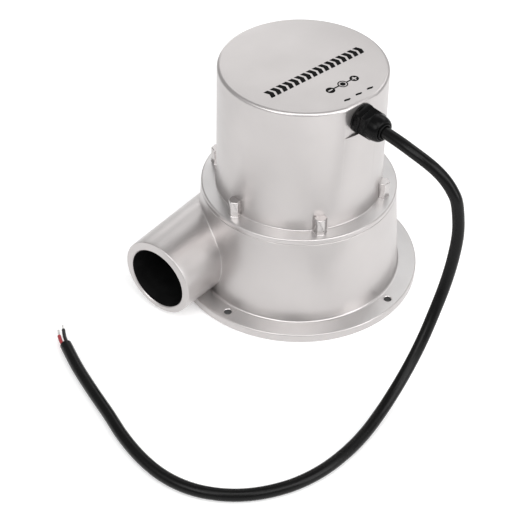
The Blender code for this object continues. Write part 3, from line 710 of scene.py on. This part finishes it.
def paint_casing_faces(casing, sizes, paint, turned_paint, inside_shade):
    """Give the casting its paint, its turned flange face, painted shade inside its chamber and bore,
    and painted shade on its holes' walls.
    """
    # Painted shade: a dark grey metal on the holes' upright walls stands for the shade inside the
    # holes.
    hole_shade = bare_metal("hole_shade_metal", (0.28, 0.28, 0.28), 0.5, 0.8 * MM)
    for finish in (paint, turned_paint, inside_shade, hole_shade):
        casing.data.materials.append(finish)
    on_flange_slot, painted_shade_slot, hole_slot = 1, 2, 3
    slack, lip, level, upright = 0.2 * MM, 0.7 * MM, 0.99, 0.1
    inside, chamber_from, chamber_to = sizes.chamber_radius + 2 * slack, 5 * MM, sizes.drum_top - 3 * MM
    bore_y = sizes.inlet_offset + sizes.bore_aside
    bore_z = sizes.inlet_height - sizes.bore_drop
    holes = round_the_axis(4, sizes.hole_circle, sizes.hole_turn)
    for face in casing.data.polygons:
        x, y, z = face.center
        radius = math.hypot(x, y)
        from_pipe = math.hypot(y - bore_y, z - bore_z)
        in_chamber = radius < inside and chamber_from < z < chamber_to
        in_bore = from_pipe < sizes.inlet_bore + slack and -sizes.inlet_reach + lip < x < 0
        on_flange = face.normal.z > level and z < sizes.flange_thickness + slack
        in_hole = abs(face.normal.z) < upright and any(
            math.hypot(x - hole[0], y - hole[1]) < sizes.hole_radius + slack / 2 for hole in holes
        )
        # Painted shade on the holes' upright walls.
        if in_hole:
            face.material_index = hole_slot
        # Painted shade: faces in the chamber and bore take the near-black colour for the shade there.
        elif in_chamber or in_bore:
            face.material_index = painted_shade_slot
        elif on_flange and radius > sizes.drum_foot:
            face.material_index = on_flange_slot


def housing_shape(scene):
    """The housing: bolting flange, can, spigot, flat for the gland, pockets and bolt holes."""
    sizes = scene.hydro_housing
    casing = scene.hydro_casing
    bottom = casing.drum_top + 0.3 * MM
    low, high, over, margin = 0.4 * MM, 1.4 * MM, 1 * MM, 0.4 * MM
    spigot, spigot_end = casing.mouth_radius - 0.5 * MM, 74 * MM
    bolt_hole, shaft_hole, shaft_end = 2.8 * MM, 10.3 * MM, 100.3 * MM
    thread_radius, thread_depth = 9.3 * MM, 12 * MM
    outside, fillet, round_by = casing.drum_head, sizes.foot_fillet, sizes.rim_round
    outline = [(0, spigot_end), (spigot, spigot_end), (spigot, bottom)]
    outline += arc(outside - low, bottom + low, low, -90, 0, 3)
    outline += arc(outside - high, sizes.flange_top - high, high, 0, 90)
    outline += arc(sizes.can_foot + fillet, sizes.flange_top + fillet, fillet, -90, -180, 5)
    pocket_floor = sizes.flange_top - 0.15 * MM
    pocket_top = sizes.flange_top + sizes.bolt_height - 0.05 * MM
    low_wall, high_wall = sizes.flange_top + fillet, sizes.can_top - round_by
    for height in (low_wall + margin, pocket_top + margin, high_wall - margin):
        up = (height - low_wall) / (high_wall - low_wall)
        outline.append((sizes.can_foot + up * (sizes.can_head - sizes.can_foot), height))
    outline += arc(sizes.can_head - round_by, high_wall, round_by, 0, 90, 8)
    housing = turned("housing", outline + [(0, sizes.can_top)])
    away = -sizes.can_foot - over
    profile = [(away, sizes.flat_bottom), (-sizes.flat, sizes.flat_bottom)]
    profile += arc(-sizes.flat + round_by, high_wall, round_by, 180, 90, 8)
    profile += [(-sizes.flat + round_by, sizes.can_top + over), (away, sizes.can_top + over)]
    ends = [[(x, y, z) for y, z in profile] for x in (-sizes.can_foot, sizes.can_foot)]
    flat = lofted("flat", ends)
    places = bolt_places(sizes)
    outlines = []
    for (x, y, angle), start in zip(places, HEAD_TURNS):
        spot = hexagon(sizes.bolt_width + 0.1 * MM, angle + math.radians(start))
        outlines.append([(x + across, y + along) for across, along in spot])
    pockets = prisms("pockets", outlines, pocket_floor, pocket_top)
    outlines = [circle(bolt_hole, 20, x, y) for x, y, angle in places]
    holes = prisms("holes", outlines, bottom - over, sizes.flange_top + over)
    shaft = prisms("shaft_hole", [circle(shaft_hole, 48)], spigot_end - over, shaft_end)
    thread = prisms("thread", [circle(thread_radius, 48)], -over, thread_depth)
    inward = Matrix.Translation((0, -sizes.flat, scene.hydro_gland.height))
    moved(thread, inward @ Matrix.Rotation(math.radians(-90), 4, "X"))
    return combined(housing, [flat, thread, pockets, holes, shaft])


def bolt_shape(sizes, number, start):
    """A clamp bolt with a tall hexagonal head, bevelled edges and a thin foot of paint."""
    seat, low = sizes.flange_top - 0.1 * MM, sizes.flange_top + 0.02 * MM
    top = seat + sizes.bolt_height
    width, chamfer, foot, brim = sizes.bolt_width, 0.5 * MM, 0.4 * MM, 0.05 * MM
    shank_radius, shank_length, over = 2.5 * MM, 16 * MM, 1 * MM

    def hexagonal(name, levels):
        """A hexagonal solid through levels of (width across the flats, height)."""
        rings = [[(x, y, height) for x, y in hexagon(across, start)] for across, height in levels]
        return lofted(name, rings)

    levels = [(width, seat), (width, top - chamfer), (width - 2 * chamfer, top)]
    head = softened(hexagonal(f"bolt_{number}", levels), 0.25 * MM, 1)
    wide = width + 2 * foot
    skirt = hexagonal("skirt", [(wide, low), (wide, low + brim), (width - 0.2 * MM, low + foot)])
    can = circle(sizes.can_foot + sizes.foot_fillet, ROUND_STEPS, -sizes.bolt_circle)
    combined(skirt, [prisms("can", [can], low - foot, top)])
    shank = prisms("shank", [circle(shank_radius, 24)], seat - shank_length, seat + over)
    return combined(head, [skirt, shank], "UNION")


def tilde(x, y, width, height, line):
    """The outline of a small wave, from left to right and back."""
    count = 14
    upper, lower = [], []
    for i in range(count + 1):
        along = i / count
        middle = y + height * math.sin(2 * math.pi * along) / 2
        thick = line * (0.45 + 0.55 * math.sin(math.pi * along)) / 2
        upper.append((x + width * (along - 0.5), middle + thick))
        lower.append((x + width * (along - 0.5), middle - thick))
    return lower + upper[::-1]


def chevron(x, y, width, height, line):
    """The outline of an arrow head that points along +X."""
    half = height / 2
    tip = x + width / 2
    back = x - width / 2
    return [
        (back, y - half), (back + line, y - half), (tip, y), (back + line, y + half),
        (back, y + half), (tip - line, y),
    ]


def oblong(x, y, wide, tall):
    """The outline of an oblong of this size along X and Y about a point."""
    left, right = x - wide / 2, x + wide / 2
    down, up = y - tall / 2, y + tall / 2
    return [(left, down), (right, down), (right, up), (left, up)]


def marks_shape(scene):
    """Printed marks on the top face: direction arrows, the polarity sign and three waves."""
    top = scene.hydro_housing.can_top
    low, high, over = top - 0.02 * MM, top + 0.05 * MM, 1 * MM
    arrow_row, wave_row, sign_row, shift = -12.6 * MM, -54.4 * MM, -37.7 * MM, -0.7 * MM
    minus, dot, plus = -7.7 * MM, (4.9 * MM, -37.6 * MM), 16.6 * MM
    outlines = [chevron(x * MM, arrow_row, 5.9 * MM, 9.2 * MM, 4.0 * MM) for x in ARROWS_MM]
    outlines += [tilde(x * MM, wave_row, 6.0 * MM, 0.5 * MM, 2.2 * MM) for x in WAVES_MM]
    outlines.append(circle(2.2 * MM, 32, *dot))
    long, short = 4.2 * MM, 1.2 * MM
    for x, wide in ((-1.65 * MM, 5.3 * MM), (11.1 * MM, long)):
        outlines.append(oblong(x, dot[1], wide, short))
    plain = prisms("plain", outlines, low, high)
    discs = prisms("discs", [circle(3.6 * MM, 48, x, sign_row) for x in (minus, plus)], low, high)
    bars = ((minus, long, short), (plus, long, short), (plus, short, long))
    cuts = []
    for number, (x, wide, tall) in enumerate(bars):
        outline = oblong(x, sign_row, wide, tall)
        cuts.append(prisms(f"bar_{number}", [outline], low - over, high + over))
    combined(discs, cuts)
    inner, outer = 3.1 * MM, 4.1 * MM
    ring = turned("ring", [(inner, low), (outer, low), (outer, high), (inner, high)], 48)
    moved(ring, Matrix.Translation((*dot, 0)))
    shape = bmesh.new()
    for obj in (plain, discs, ring):
        shape.from_mesh(obj.data)
        bpy.data.objects.remove(obj, do_unlink=True)
    return moved(mesh_object("top_marks", shape), Matrix.Translation((shift, shift, 0)))


def gland_place(scene):
    """From the gland's own axis, with Z outwards from the flat, to the row's frame."""
    sizes = scene.hydro_housing
    seat = Matrix.Translation((0, -sizes.flat, scene.hydro_gland.height))
    return housing_place(scene) @ seat @ Matrix.Rotation(math.radians(90), 4, "X")


def gland_shapes(scene):
    """The gland's washer, body, nut and seal, round the gland's own axis."""
    sizes = scene.hydro_gland
    gap, bore, thread, thread_start = 0.3 * MM, 5.1 * MM, 9 * MM, -10 * MM
    washer_rim, washer_top = 11.6 * MM, 1.8 * MM
    hex_start, hex_end = 2.1 * MM, 7.7 * MM
    nut_start, nut_hex_end, nut_end = 8 * MM, 14.3 * MM, 23.4 * MM
    washer = turned("gland_washer_ring", [
        (thread + gap, gap), (washer_rim, gap), (washer_rim, washer_top), (thread + gap, washer_top),
    ], 64)
    outline = hexagon(sizes.width, sizes.turned_by)
    body = prisms("gland_base", [outline], hex_start, hex_end)
    reach, ease, top_ease = sizes.width / math.sqrt(3), 1 * MM, 0.6 * MM
    shaper = turned("shaper", [
        (0, hex_start - gap), (reach - ease, hex_start), (reach + ease, hex_start + ease),
        (reach + ease, hex_end - top_ease), (reach - top_ease, hex_end), (0, hex_end + gap),
    ], 72)
    combined(body, [shaper], "INTERSECT")
    softened(body, 0.4 * MM, 3)
    tube_end = nut_hex_end - 4 * MM
    neck = turned("neck", [
        (bore, thread_start), (thread, thread_start), (thread, tube_end), (bore, tube_end),
    ], 64)
    hollow = prisms("hollow", [circle(bore + 1 * MM, 48)], hex_start - gap, hex_end + gap)
    combined(body, [hollow])
    combined(body, [neck], "UNION")
    nut = prisms("gland_cap", [outline], nut_start, nut_end)
    foot, top, rise, steps = 10.5 * MM, 7.5 * MM, 9.1 * MM, 12
    dome = [(0, nut_start - gap), (reach + ease, nut_start), (reach + ease, nut_hex_end - 2 * MM)]
    for i in range(steps + 1):
        angle = math.radians(90 * i / steps)
        dome.append((top + (foot - top) * math.cos(angle), nut_hex_end + rise * math.sin(angle)))
    combined(nut, [turned("dome", dome + [(0, nut_end)], 96)], "INTERSECT")
    softened(nut, 0.45 * MM, 3, 25)
    opening, below, flare = 6.5 * MM, nut_start - 1 * MM, 0.6 * MM
    inside = turned("inside", [
        (0, below), (thread + gap, below), (thread + gap, nut_hex_end - 3 * MM),
        (opening, nut_hex_end + 3 * MM), (opening, nut_end - flare),
        (opening + 2 * flare, nut_end + flare), (0, nut_end + flare),
    ], 72)
    combined(nut, [inside])
    lip, lip_middle, lip_round, seal_start = 6.2 * MM, 5.65 * MM, 0.55 * MM, tube_end + gap
    profile = [(bore, seal_start), (lip, seal_start), (lip, nut_end + 0.4 * MM)]
    profile += arc(lip_middle, nut_end + 0.65 * MM, lip_round, 0, 180, 8)[:-1]
    seal = turned("gland_lip", profile + [(bore, nut_end + 0.6 * MM)], 64)
    return washer, body, nut, seal


def smooth_through(points, step):
    """Points about one step apart on a smooth curve through the given points."""
    ends = [points[0] + (points[0] - points[1])] + points + [points[-1] + (points[-1] - points[-2])]
    smooth = []
    for before, here, there, after in zip(ends, ends[1:], ends[2:], ends[3:]):
        count = max(1, round((there - here).length / step))
        for i in range(count):
            t = i / count
            smooth.append(0.5 * (
                2 * here + (there - before) * t + (2 * before - 5 * here + 4 * there - after) * t ** 2
                + (3 * here - before - 3 * there + after) * t ** 3
            ))
    return smooth + [points[-1]]


def tubes(name, lines, radius, resolution):
    """Round leads or strands along lists of points, as one curve with filled ends."""
    curve = bpy.data.curves.new(name, "CURVE")
    curve.dimensions = "3D"
    curve.bevel_depth = radius
    curve.bevel_resolution = resolution
    curve.use_fill_caps = True
    for points in lines:
        line = curve.splines.new("POLY")
        line.points.add(len(points) - 1)
        for point, place in zip(line.points, points):
            point.co = (*place, 1.0)
        line.use_smooth = True
    obj = bpy.data.objects.new(name, curve)
    bpy.context.scene.collection.objects.link(obj)
    return obj


def from_axis(scene, points):
    """Points in millimetres from the casing's axis, in the row's frame."""
    place = axis_place(scene.hydro_casing)
    return [place @ (Vector(point) * MM) for point in points]


def lead_points(scene):
    """The sheath's route from inside the gland to its cut end."""
    place = housing_place(scene)
    height = scene.hydro_gland.height
    start = [place @ Vector((0.0, -distance * MM, height)) for distance in (76, 90)]
    return smooth_through(start + from_axis(scene, ROUTE_MM), 4 * MM)


def strands(name, start, end, radius):
    """Seven twisted bare strands from one point to another."""
    axis = end - start
    along = axis.normalized()
    side = along.orthogonal().normalized()
    other = along.cross(side)
    thread, steps, twist = radius * 0.36, 14, 110
    lay = [(0.0, 0.0)] + [(radius - thread, 60.0 * i) for i in range(6)]
    lines = []
    for number, (distance, first) in enumerate(lay):
        shortened = 1.0 - 0.05 * (number % 3)
        line = []
        for i in range(steps + 1):
            part = i / steps
            angle = math.radians(first + twist * part)
            away = side * math.cos(angle) * distance + other * math.sin(angle) * distance
            line.append(start + axis * part * shortened + away)
        lines.append(line)
    return tubes(name, lines, thread, 3)


class HYDRO_OT_stage(Operator):
    """Set up the pale floor, the soft lights and the camera"""

    bl_idname = "hydro.stage"
    bl_label = "Stage"
    bl_options = {"REGISTER", "UNDO"}

    def execute(self, context):
        scene = context.scene
        studio = scene.hydro_studio
        scene.view_settings.view_transform = "Standard"
        self.add_camera(scene, studio)
        radius, thickness, gap = 4.0, 20 * MM, 0.2 * MM
        floor = prisms("floor", [circle(radius, 64)], -thickness, -gap)
        weave = Weave("floor_paint", tuple(studio.floor), 0.7)
        weave.shader.inputs["Emission Color"].default_value = (1.0, 1.0, 1.0, 1.0)
        weave.shader.inputs["Emission Strength"].default_value = studio.glow
        weave.gloss(0.2, 2.0, 0.65, 0.75)
        floor.data.materials.append(weave.material)
        world = scene.world or bpy.data.worlds.new("studio")
        scene.world = world
        world.use_nodes = True
        backdrop = world.node_tree.nodes["Background"]
        backdrop.inputs["Color"].default_value = (1.0, 1.0, 1.0, 1.0)
        backdrop.inputs["Strength"].default_value = studio.world
        for name, (azimuth, elevation, power) in LIGHTS.items():
            self.add_light(scene, name, azimuth, elevation, power)
        return {"FINISHED"}

    def add_camera(self, scene, studio):
        """The photograph's viewpoint, fitted to the ellipses of the flange, drum and can."""
        turn_by = Matrix.Rotation(math.radians(-53.9), 3, "Z")
        right = turn_by @ Vector((0.99894, 0.04381, 0.01411))
        up = turn_by @ Vector((-0.03939, 0.65509, 0.75452))
        back = turn_by @ Vector((0.02381, -0.75428, 0.65613))
        place = axis_place(scene.hydro_casing) @ (turn_by @ Vector((0.0, -0.9261, 0.8025)))
        data = bpy.data.cameras.new("camera")
        data.sensor_width = 36.0
        data.lens = studio.focal
        camera = bpy.data.objects.new("camera", data)
        scene.collection.objects.link(camera)
        matrix = Matrix((right, up, back)).transposed().to_4x4()
        matrix.translation = place
        camera.matrix_world = matrix
        scene.camera = camera

    def add_light(self, scene, name, azimuth, elevation, power):
        """A soft square light that faces the middle of the machine."""
        data = bpy.data.lights.new(name, "AREA")
        data.shape = "SQUARE"
        data.size = LIGHT_SIZE
        data.energy = power
        light = bpy.data.objects.new(name, data)
        scene.collection.objects.link(light)
        across = math.radians(azimuth)
        rise = math.radians(elevation)
        away = Vector((
            math.cos(rise) * math.cos(across), math.cos(rise) * math.sin(across), math.sin(rise),
        ))
        target = Vector((0.0, 0.0, 0.1))
        light.location = target + away * LIGHT_DISTANCE
        light.rotation_euler = away.to_track_quat("Z", "Y").to_euler()


class HYDRO_OT_lead(Operator):
    """Lay the black lead with its two bared cores"""

    bl_idname = "hydro.lead"
    bl_label = "Lead"
    bl_options = {"REGISTER", "UNDO"}

    def execute(self, context):
        scene = context.scene
        sizes = scene.hydro_gland
        looks = scene.hydro_finishes
        points = lead_points(scene)
        sheath = tubes("lead_sheath", [points], sizes.sheath_radius, 8)
        rubber = black_rubber(scene, "lead_rubber", 0.27)
        finished(sheath, "root", rubber, ["cable_sheath"])
        tin = bare_metal("tinned_strands", tuple(looks.tin), 0.3, 0.4 * MM)
        on_lead, overlap = [], 0.4 * MM
        cores = (("red", RED_CORE_MM, looks.red), ("black", BLACK_CORE_MM, looks.rubber))
        for shade, route, base in cores:
            node = f"{shade}_core"
            places = from_axis(scene, route)
            insulated = smooth_through(places[:-1], 1.5 * MM)
            core = tubes(f"lead_{node}", [insulated], sizes.core_radius, 6)
            plastic = core_plastic(f"{node}_plastic", tuple(base))
            finished(core, "root", plastic, [node])
            onward = (places[-1] - places[-2]).normalized()
            start = places[-2] - onward * overlap
            tip = strands(f"lead_{node}_tip", start, places[-1], sizes.tip_radius)
            finished(tip, "root", tin, [f"{node}_tip"])
            on_lead += [core, tip]
        return {"FINISHED"}


class HYDRO_OT_casing(Operator):
    """Cast the volute casing with its flange, drum and inlet pipe"""

    bl_idname = "hydro.casing"
    bl_label = "Casing"
    bl_options = {"REGISTER", "UNDO"}

    def execute(self, context):
        scene = context.scene
        sizes = scene.hydro_casing
        casing = casing_shape(sizes)
        paint = silver_paint(scene, "silver_paint")
        # Silver paint, the turned flange face, and painted shade in the chamber, the bore and the
        # holes.
        paint_casing_faces(casing, sizes, paint, turned_silver(scene, "turned_silver"), painted_shade_inside(scene))
        shaded(moved(casing, axis_place(sizes)))
        finished(casing, "root", None, ["volute_casing"])
        ridge = shaded(moved(parting_ridge(sizes), axis_place(sizes)), 60)
        finished(ridge, "root", paint)
        return {"FINISHED"}


class HYDRO_OT_housing(Operator):
    """Cast the generator housing with its flat and bolt pockets"""

    bl_idname = "hydro.housing"
    bl_label = "Generator housing"
    bl_options = {"REGISTER", "UNDO"}

    def execute(self, context):
        scene = context.scene
        sizes = scene.hydro_housing
        housing = housing_shape(scene)
        for finish in (silver_paint(scene, "can_paint"), turned_silver(scene, "shoulder_paint")):
            housing.data.materials.append(finish)
        for face in housing.data.polygons:
            level = face.normal.z > 0.99 and abs(face.center.z - sizes.flange_top) < 0.2 * MM
            if level:
                face.material_index = 1
        shaded(moved(housing, housing_place(scene)))
        finished(housing, "root", None, ["generator_housing"])
        return {"FINISHED"}


class HYDRO_OT_bolts(Operator):
    """Set the six clamp bolts into their pockets"""

    bl_idname = "hydro.bolts"
    bl_label = "Clamp bolts"
    bl_options = {"REGISTER", "UNDO"}

    def execute(self, context):
        scene = context.scene
        sizes = scene.hydro_housing
        finish = bolt_silver(scene)
        for number, (x, y, angle) in enumerate(bolt_places(sizes), start=1):
            bolt = bolt_shape(sizes, number, math.radians(HEAD_TURNS[number - 1]))
            spot = Matrix.Translation((x, y, 0)) @ Matrix.Rotation(angle, 4, "Z")
            shaded(moved(bolt, housing_place(scene) @ spot), 16)
            finished(bolt, "root", finish, [f"clamp_bolt_{number}"])
        return {"FINISHED"}


class HYDRO_OT_marks(Operator):
    """Print the generic marks on the top face"""

    bl_idname = "hydro.marks"
    bl_label = "Printed marks"
    bl_options = {"REGISTER", "UNDO"}

    def execute(self, context):
        scene = context.scene
        marks = moved(marks_shape(scene), housing_place(scene))
        finished(marks, "root", printed_ink(scene))
        return {"FINISHED"}


class HYDRO_OT_gland(Operator):
    """Screw the cable gland into its flat"""

    bl_idname = "hydro.gland"
    bl_label = "Cable gland"
    bl_options = {"REGISTER", "UNDO"}

    def execute(self, context):
        scene = context.scene
        nylon = black_nylon(scene)
        rubber = black_rubber(scene, "seal_rubber", 0.45)
        place = gland_place(scene)
        nodes = ("gland_washer", "gland_body", "gland_nut", "gland_seal")
        kinds = (rubber, nylon, nylon, rubber)
        slots = ("black_rubber", "black_nylon", "black_nylon", "black_rubber")
        for obj, node, finish, slot_name in zip(gland_shapes(scene), nodes, kinds, slots):
            shaded(moved(obj, place))
            finished(obj, "root", finish, [node])
        return {"FINISHED"}


class HYDRO_OT_inside(Operator):
    """Finish the pieces inside the casing and the gasket"""

    bl_idname = "hydro.inside"
    bl_label = "Inner pieces"
    bl_options = {"REGISTER", "UNDO"}

    def execute(self, context):
        looks = context.scene.hydro_finishes
        steel = bare_metal("machined_steel", tuple(looks.steel), 0.3, 0.8 * MM)
        bronze = bare_metal("cast_bronze", tuple(looks.bronze), 0.42, 1.6 * MM)
        rubber = black_rubber(context.scene, "gasket_rubber", 0.55)
        kinds = {"turbine_runner": bronze, "housing_gasket": rubber, "shaft_seal": rubber}
        plain = ["runner_shaft", "seal_plate", "runner_washer", "runner_nut"]
        plain += [f"seal_plate_screw_{number}" for number in range(1, 5)]
        kinds.update({name: steel for name in plain})
        for name, finish in kinds.items():
            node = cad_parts.get(name)
            if node is None:
                raise RuntimeError(f"the frame has no node {name}")
            for place in node.material_slots:
                place.material = finish
        return {"FINISHED"}


class HYDRO_PT_panel(Panel):
    """Sizes, colours and pieces of the micro hydro generator"""

    bl_idname = "HYDRO_PT_panel"
    bl_label = "Micro Hydro Generator"
    bl_space_type = "VIEW_3D"
    bl_region_type = "UI"
    bl_category = "Hydro"

    def draw(self, context):
        for operator in OPERATORS:
            self.layout.operator(operator.bl_idname)
        for attribute, group in GROUPS.items():
            box = self.layout.box()
            box.label(text=group.__doc__)
            for name in group.__annotations__:
                box.prop(getattr(context.scene, attribute), name)


OPERATORS = (
    HYDRO_OT_stage, HYDRO_OT_lead, HYDRO_OT_casing, HYDRO_OT_housing, HYDRO_OT_bolts,
    HYDRO_OT_marks, HYDRO_OT_gland, HYDRO_OT_inside,
)
GROUPS = {
    "hydro_casing": CasingSizes,
    "hydro_housing": HousingSizes,
    "hydro_gland": GlandSizes,
    "hydro_finishes": Finishes,
    "hydro_studio": Studio,
}


def register():
    for group in GROUPS.values():
        bpy.utils.register_class(group)
    for operator in OPERATORS:
        bpy.utils.register_class(operator)
    bpy.utils.register_class(HYDRO_PT_panel)
    for attribute, group in GROUPS.items():
        setattr(bpy.types.Scene, attribute, PointerProperty(type=group))


def unregister():
    for attribute in GROUPS:
        delattr(bpy.types.Scene, attribute)
    bpy.utils.unregister_class(HYDRO_PT_panel)
    for operator in reversed(OPERATORS):
        bpy.utils.unregister_class(operator)
    for group in reversed(GROUPS.values()):
        bpy.utils.unregister_class(group)


def main():
    register()
    for step in (
        bpy.ops.hydro.stage, bpy.ops.hydro.lead, bpy.ops.hydro.casing, bpy.ops.hydro.housing,
        bpy.ops.hydro.bolts, bpy.ops.hydro.marks, bpy.ops.hydro.gland, bpy.ops.hydro.inside,
    ):
        step()


if __name__ == "__main__":
    main()
